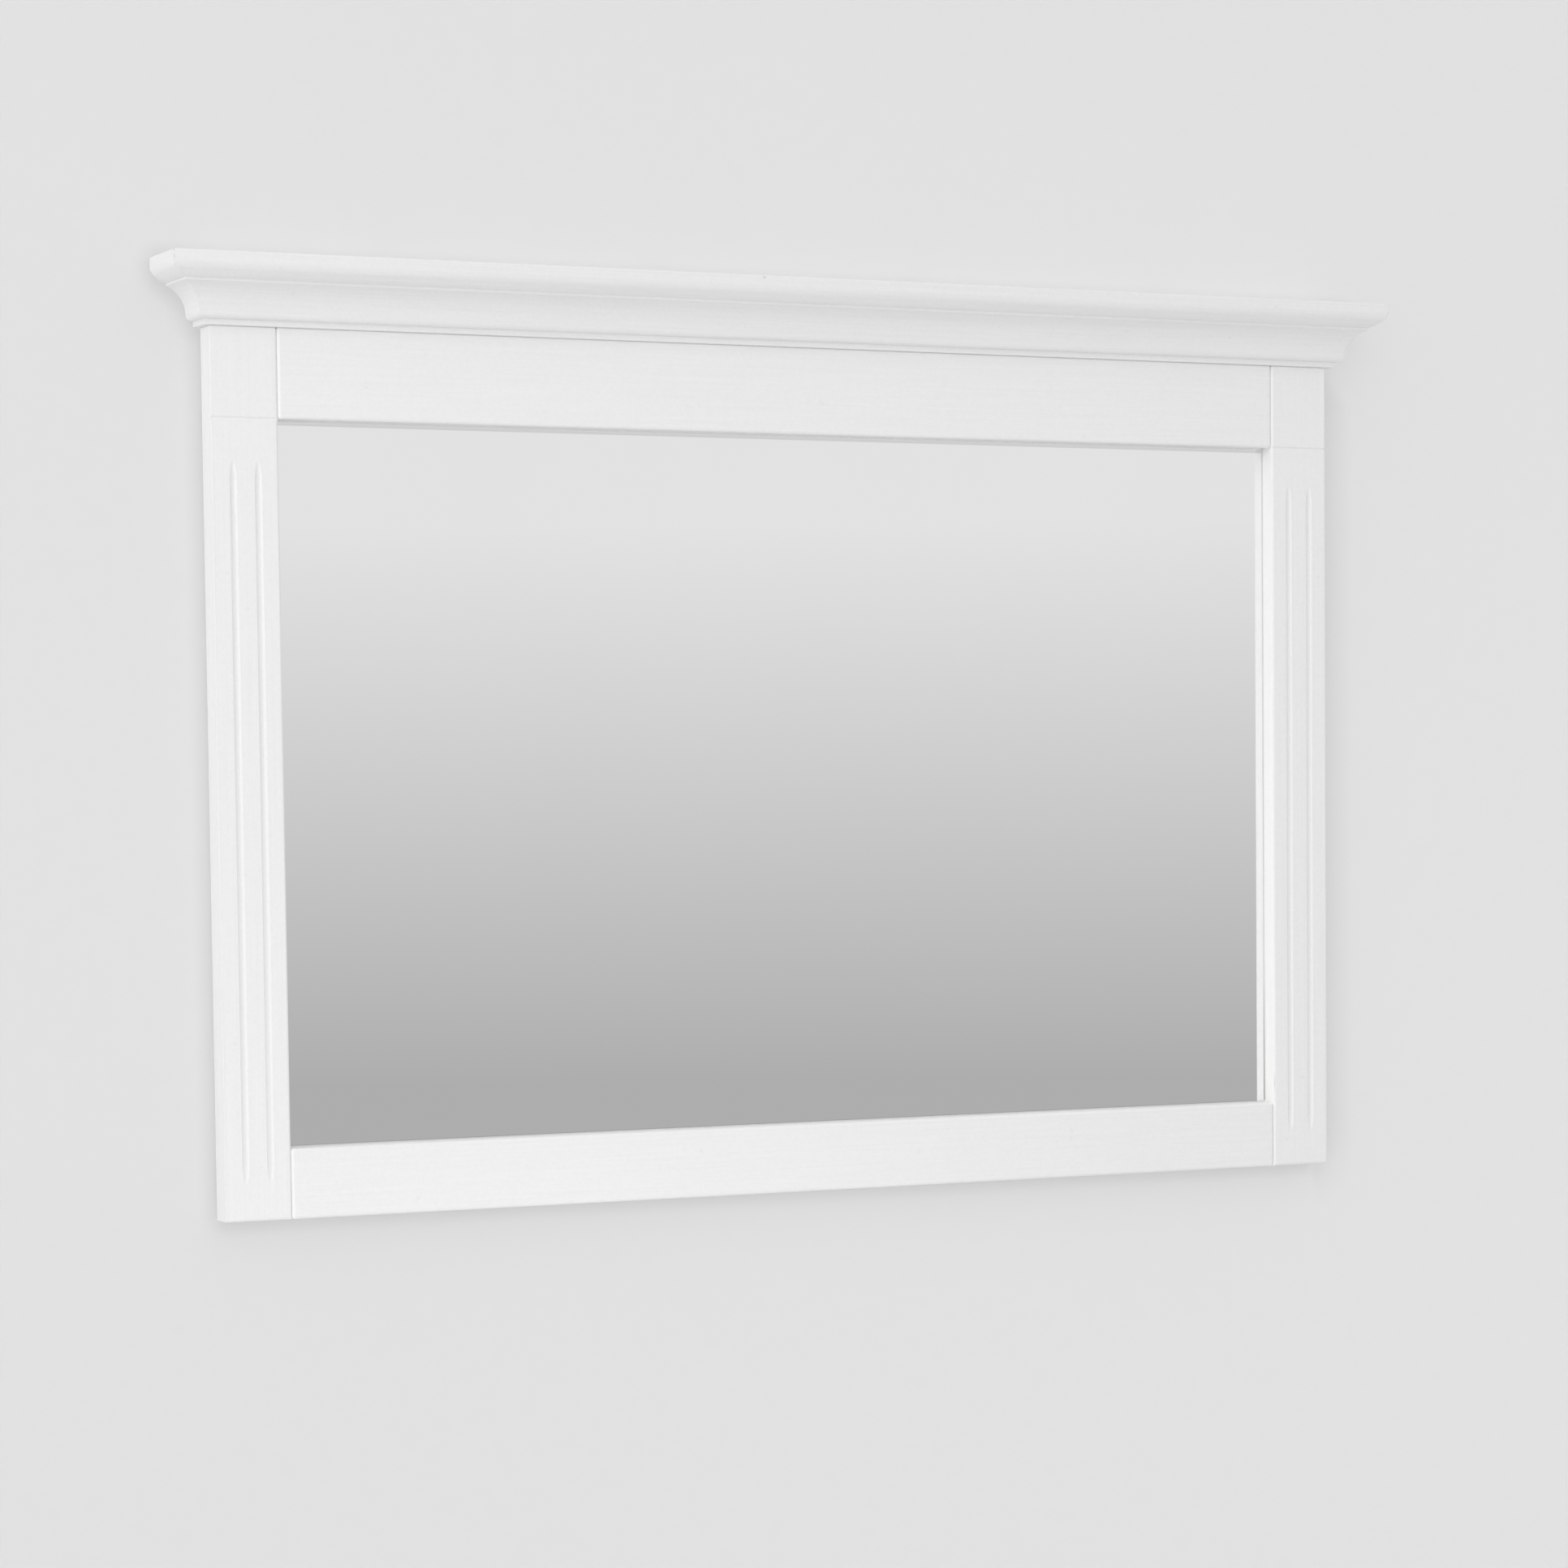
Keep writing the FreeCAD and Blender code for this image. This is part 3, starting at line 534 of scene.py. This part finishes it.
# Painted shade: the stiles' outer front arrises are darkened a little so that they don't shine.
arris_shade = ramp(single, from_arris, ARRIS_SHADE_WIDTH * 1.5, ARRIS_SHADE_WIDTH)
single.links.new(weighted(single, (split, 0.4), (arris_shade, 0.08)), wanted["Dark"])

# Painted light: whiter in the four joints and just under the moulding, where shade falls.
from_joint = math_node(single, "ABSOLUTE", math_node(single, "SUBTRACT", in_from_side, JOINT_INSET))
beside_joint = math_node(single, "LESS_THAN", from_joint, JOINT_LIGHT_REACH)
sunk = ramp(single, in_from_front, SUNK_START, SUNK_END)
at_rail = math_node(single, "MAXIMUM", math_node(single, "GREATER_THAN", parts["Z"], OPENING_HIGH),
                    math_node(single, "LESS_THAN", parts["Z"], OPENING_LOW))
joint_light = product(single, beside_joint, sunk, product(single, at_rail, JOINT_LIGHT_SHARE))
from_top = math_node(single, "SUBTRACT", stile_high.z, parts["Z"])
light_under_moulding = ramp(single, from_top, TOP_LIGHT_REACH, 0.0, 0.0, TOP_LIGHT_SHARE)
single.links.new(math_node(single, "MAXIMUM", joint_light, light_under_moulding), wanted["Painted Light"])
single.links.new(weighted(single, (pimple, 6.0), (split, -3.0)), wanted["Height"])

# %% [markdown]
# A painted board's material puts the groups together: the brushed white, the painted light in the joints and
# under the moulding, the dark marks and the painted arris shade over it, and bare pine wherever the mask says
# so. The boards and the moulding each have a pair of whites, between which the brush marks move; the
# moulding's pair is a few levels darker, a painted shade. Pieces that nobody paints, such as dowels, have the
# wood alone.

# %% Painted and bare wood
BOARD_TONES, MOULDING_SHADED_TONES = (grey(229), grey(244)), (grey(226), grey(241))
STREAK_LENGTH, STREAK_WIDTH = 0.16, 0.0022
PAINT_ROUGHNESS, BARE_ROUGHNESS, PEG_ROUGHNESS = (0.36, 0.5), 0.75, 0.7
BOARD_RELIEF, PEG_RELIEF = (0.5, 0.00016), (0.3, 0.0001)
BEECH_TINT = (0.93, 0.84, 0.78, 1.0)


def stretched(tree, place, along, length, across):
    """Coordinates squeezed so that a pattern is long in one direction of the board and fine across it."""
    scale = [1 / across] * 3
    scale["XYZ".index(along)] = 1 / length
    return node(tree, "Mapping", {"Vector": place, "Scale": scale}).outputs[0]


def painted_wood(name, along, tones, marks):
    """White paint brushed along one axis of a board, with bare pine on its wall side."""
    material, tree, shader, place = new_material(name)
    streaks = stretched(tree, place, along, STREAK_LENGTH, STREAK_WIDTH)
    paint = use_group(tree, brushed, {"Vector": place, "Streaks": streaks})
    wood = use_group(tree, pine, {"Vector": place, "Streaks": streaks})
    found = use_group(tree, marks, {"Vector": place})
    bare = bare_back(tree, place)
    white = mix_colours(tree, paint["Tone"], *tones)
    # Painted light in the joints and under the moulding, then the dark marks, among them the painted arris
    # shade.
    white = mix_colours(tree, found["Painted Light"], white, PAINTED_LIGHT_TONE)
    white = mix_colours(tree, found["Dark"], white, MARK_TONE)
    gloss = ramp(tree, paint["Sheen Mask"], 0.0, 1.0, *PAINT_ROUGHNESS)
    set_surface(tree, shader, mix_colours(tree, bare, white, wood["Color"]),
                mix_values(tree, bare, gloss, BARE_ROUGHNESS))
    painted_height = weighted(tree, (paint["Height"], 1.0), (found["Height"], 1.0))
    set_relief(tree, shader, mix_values(tree, bare, painted_height, wood["Height"]), *BOARD_RELIEF)
    return material


def bare_wood(name, along, tint):
    """Unpainted wood along one axis of a board, tinted towards another species."""
    material, tree, shader, place = new_material(name)
    streaks = stretched(tree, place, along, STREAK_LENGTH, STREAK_WIDTH)
    wood = use_group(tree, pine, {"Vector": place, "Streaks": streaks})
    set_surface(tree, shader, multiplied(tree, wood["Color"], tint), PEG_ROUGHNESS)
    set_relief(tree, shader, wood["Height"], *PEG_RELIEF)
    return material


dress(painted_wood("paint_upright", "Z", BOARD_TONES, single), "left_stile", "right_stile")
dress(painted_wood("paint_level", "X", BOARD_TONES, single), "top_rail", "bottom_rail", "cornice_carrier")
dress(painted_wood("paint_moulding", "X", MOULDING_SHADED_TONES, hairline), "cornice_front")
dress(painted_wood("paint_return", "Y", MOULDING_SHADED_TONES, hairline),
      "cornice_return_left", "cornice_return_right")
dress(bare_wood("bare_beech", "X", BEECH_TINT), "frame_dowels", "mitre_biscuits")

# %% [markdown]
# A mirror is glass with silver on its back. Clear glass over a silver sheet would be the literal way, but a
# renderer's shadow rays stop at glass that bends light, so the frame's edge behind it gets little light from
# the lamps. So the sheet is a metal with no roughness, which a silvered glass looks like from any distance.
# Thin darker lines along the frame's lip are a painted reflection and painted shade: they stand for the
# shaded gap that one sees through the glass's thickness there, and the ones at the sides darken further
# towards the foot. A slow noise gives the silver a faint haze.

# %% Silvered glass
OPENING_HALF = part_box("right_stile")[0].x
HAZE_NOISE, SILVER_TONES = (6.0, 3.0), (neutral(0.945), neutral(0.96))
SIDE_LINE, SIDE_SHADE_TONE = (-0.001, 0.0016), neutral(0.73)
FOOT_REACH, FOOT_SHADE_TONE = 0.12, (0.46, 0.45, 0.42, 1.0)
LOW_LINE, LOW_SHADE_TONE = (-0.001, 0.0020), neutral(0.80)
TOP_LINE, TOP_SHADE_TONE = (0.0010, 0.0040), (0.77, 0.765, 0.765, 1.0)
LINE_FADE = 0.0006

material, tree, shader, place = new_material("silvered_glass")
parts = xyz(tree, place)
from_side = math_node(tree, "SUBTRACT", OPENING_HALF, math_node(tree, "ABSOLUTE", parts["X"]))
from_low = math_node(tree, "SUBTRACT", parts["Z"], OPENING_LOW)
from_high = math_node(tree, "SUBTRACT", OPENING_HIGH, parts["Z"])
silver = mix_colours(tree, noise(tree, place, *HAZE_NOISE), *SILVER_TONES)
side_shade_tone = mix_colours(tree, ramp(tree, from_low, FOOT_REACH, 0.0), SIDE_SHADE_TONE, FOOT_SHADE_TONE)
# Painted reflection and shade: dark lines along the lip, darker at the sides towards the foot.
for inset, (start, end), tone in ((from_side, SIDE_LINE, side_shade_tone), (from_low, LOW_LINE, LOW_SHADE_TONE),
                                  (from_high, TOP_LINE, TOP_SHADE_TONE)):
    begun = ramp(tree, inset, start, start + LINE_FADE)
    left = ramp(tree, inset, end, end - LINE_FADE)
    silver = mix_colours(tree, product(tree, begun, left), silver, tone)
set_surface(tree, shader, silver, 0.0, metallic=1.0)
dress(material, "mirror_glass")

# %% [markdown]
# The back panel is hardboard: brown pressed fibre with the fine woven mark of the screen that it was pressed
# on. Two crossed sine waves give that mark, and noise gives the fibres.

# %% Hardboard
PRESSED_NOISE, CLOUD_NOISE, FIBRE_SHARE = (260.0, 5.0), (9.0, 3.0), 0.7
HARDBOARD_TONES, HARDBOARD_ROUGHNESS = (colour(104, 74, 50), colour(158, 120, 84)), 0.8
WEAVE_SCALE, HARDBOARD_RELIEF = 3900.0, (0.5, 0.0002)

material, tree, shader, place = new_material("hardboard")
fibres = noise(tree, place, *PRESSED_NOISE)
mixed = weighted(tree, (fibres, FIBRE_SHARE), (noise(tree, place, *CLOUD_NOISE), 1 - FIBRE_SHARE))
set_surface(tree, shader, mix_colours(tree, mixed, *HARDBOARD_TONES), HARDBOARD_ROUGHNESS)
parts = xyz(tree, place)
across = math_node(tree, "SINE", math_node(tree, "MULTIPLY", parts["X"], WEAVE_SCALE))
upward = math_node(tree, "SINE", math_node(tree, "MULTIPLY", parts["Z"], WEAVE_SCALE))
weave = product(tree, across, upward)
set_relief(tree, shader, math_node(tree, "ADD", weave, fibres), *HARDBOARD_RELIEF)
dress(material, "back_panel")

# %% [markdown]
# The clips, plates and screws are zinc-plated steel. Plating grows in small crystals that differ in gloss, so
# each cell of a fine Voronoi pattern has a roughness of its own. The pads are dark rubber dulled by dust, and
# the strips under the glass are cork, whose granules are cells again, this time of different tones.

# %% Steel, rubber and cork
SPANGLE_SCALE, WIPE_NOISE = 900.0, (120.0, 4.0)
ZINC_TONES, ZINC_ROUGHNESS = (colour(186, 188, 186), colour(210, 208, 198)), (0.28, 0.46)
DUST_NOISE, RUBBER_TONES, RUBBER_ROUGHNESS = (700.0, 3.0), (grey(38), grey(62)), 0.75
RUBBER_RELIEF = (0.3, 0.0001)
CORK_SCALE, CORK_ROUGHNESS = 800.0, 0.85
CORK_TONES = colour(150, 108, 66), colour(196, 154, 104)


def cell_values(tree, place, scale):
    """A value of its own for each cell of a Voronoi pattern."""
    cells = node(tree, "TexVoronoi", {"Vector": place, "Scale": scale}).outputs["Color"]
    return node(tree, "SeparateColor", {0: cells}).outputs[0]


material, tree, shader, place = new_material("zinc_plate")
wiped = mix_colours(tree, noise(tree, place, *WIPE_NOISE), *ZINC_TONES)
gloss = ramp(tree, cell_values(tree, place, SPANGLE_SCALE), 0.0, 1.0, *ZINC_ROUGHNESS)
set_surface(tree, shader, wiped, gloss, metallic=1.0)
dress(material, "panel_clips", "clip_screws", "cornice_screws", "moulding_screws",
      "hanger_plate_left", "hanger_plate_right", "hanger_screws")

material, tree, shader, place = new_material("pad_rubber")
dust = noise(tree, place, *DUST_NOISE)
set_surface(tree, shader, mix_colours(tree, dust, *RUBBER_TONES), RUBBER_ROUGHNESS)
set_relief(tree, shader, dust, *RUBBER_RELIEF)
dress(material, "wall_pads")

material, tree, shader, place = new_material("cork")
granules = cell_values(tree, place, CORK_SCALE)
set_surface(tree, shader, mix_colours(tree, granules, *CORK_TONES), CORK_ROUGHNESS)
dress(material, "glass_packers")

# %% [markdown]
# The Standard view transform shows tones as they were worked out, while a film-like one would dull a white
# piece. Nothing here changes a shape, so the box printed last is the one measured after loading.

scene = bpy.context.scene
scene.view_settings.view_transform = "Standard"
print("packed box: ", [round(v, 4) for v in (*cad_low, *cad_high)])
